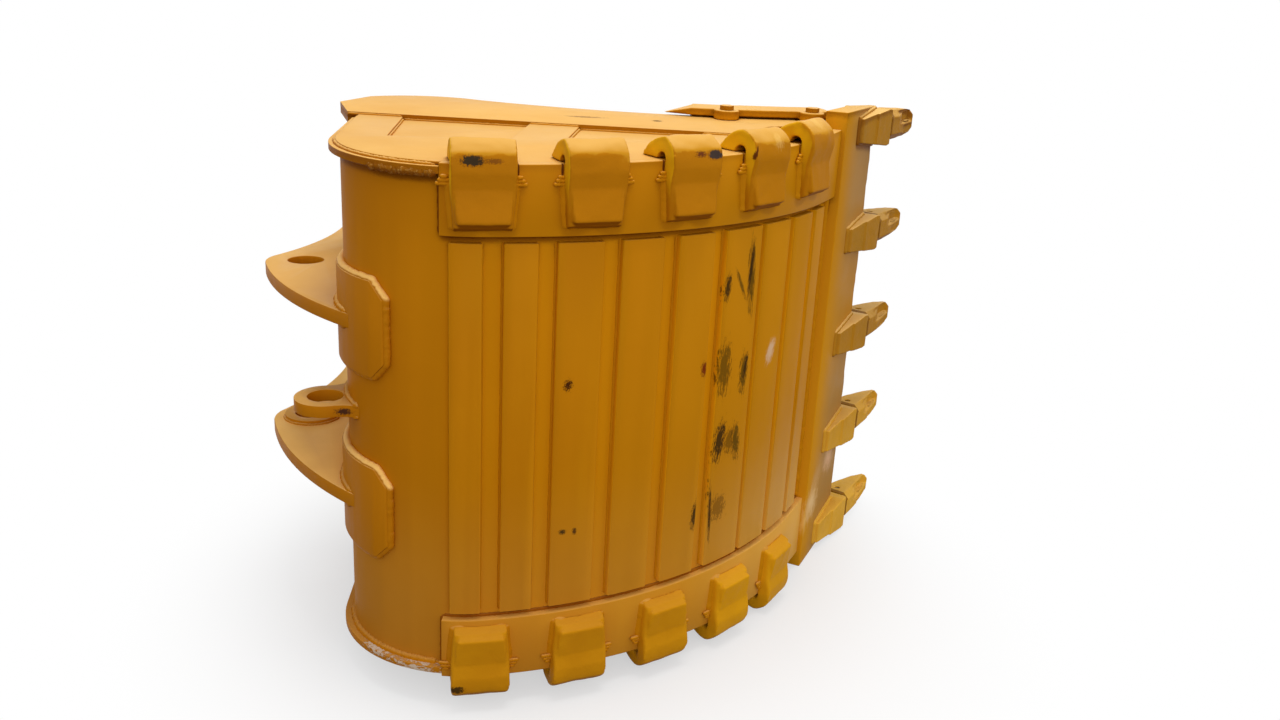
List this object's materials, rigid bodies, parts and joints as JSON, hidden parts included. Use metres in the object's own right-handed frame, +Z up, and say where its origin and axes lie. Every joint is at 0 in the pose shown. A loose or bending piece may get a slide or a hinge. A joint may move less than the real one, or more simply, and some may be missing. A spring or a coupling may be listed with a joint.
{
  "type": "excavator rock bucket",
  "caption": "Welded rock bucket for an excavator, lying on its side, with toothed lip, wear strips, heel shrouds and two hinge ears.",
  "frame": {"origin": "middle of the bounding box's bottom face, on the floor the bucket lies on", "axes": "+X along the mouth from the hinge to the teeth, +Y out of the mouth, +Z up along the pin bores, across the bucket's width"},
  "size_m": [1.8636, 1.3882, 1.4],
  "materials": {
    "plate_paint": "satin",
    "casting_paint": "satin",
    "lip_paint": "gloss",
    "fastener_paint": "satin",
    "pin_steel": "satin"
  },
  "bodies": {
    "root": {"adapter_1": "casting_paint", "adapter_2": "casting_paint", "adapter_3": "casting_paint", "adapter_4": "casting_paint", "adapter_5": "casting_paint", "cutter_bolts": "fastener_paint", "cutter_nuts": "fastener_paint", "cutter_washers": "fastener_paint", "ear_lower": "plate_paint", "ear_pad_lower": "plate_paint", "ear_pad_upper": "plate_paint", "ear_upper": "plate_paint", "heel_band_lower": "plate_paint", "heel_band_upper": "plate_paint", "lifting_eye": "plate_paint", "lip": "lip_paint", "lock_pins": "pin_steel", "pin_bosses": "plate_paint", "pin_retainers": "pin_steel", "point_1": "casting_paint", "point_2": "casting_paint", "point_3": "casting_paint", "point_4": "casting_paint", "point_5": "casting_paint", "shroud_lower_1": "casting_paint", "shroud_lower_2": "casting_paint", "shroud_lower_3": "casting_paint", "shroud_lower_4": "casting_paint", "shroud_lower_5": "casting_paint", "shroud_upper_1": "casting_paint", "shroud_upper_2": "casting_paint", "shroud_upper_3": "casting_paint", "shroud_upper_4": "casting_paint", "shroud_upper_5": "casting_paint", "side_bar_lower": "plate_paint", "side_bar_upper": "plate_paint", "side_cutter_lower": "casting_paint", "side_cutter_upper": "casting_paint", "side_plate_lower": "plate_paint", "side_plate_upper": "plate_paint", "side_wear_plate_lower": "plate_paint", "side_wear_plate_upper": "plate_paint", "throat_plate": "plate_paint", "wear_strip_1": "plate_paint", "wear_strip_2": "plate_paint", "wear_strip_3": "plate_paint", "wear_strip_4": "plate_paint", "wear_strip_5": "plate_paint", "wear_strip_6": "plate_paint", "wear_strip_7": "plate_paint", "wear_strip_8": "plate_paint", "wear_strip_9": "plate_paint", "wrapper": "plate_paint"}
  },
  "joints": []
}
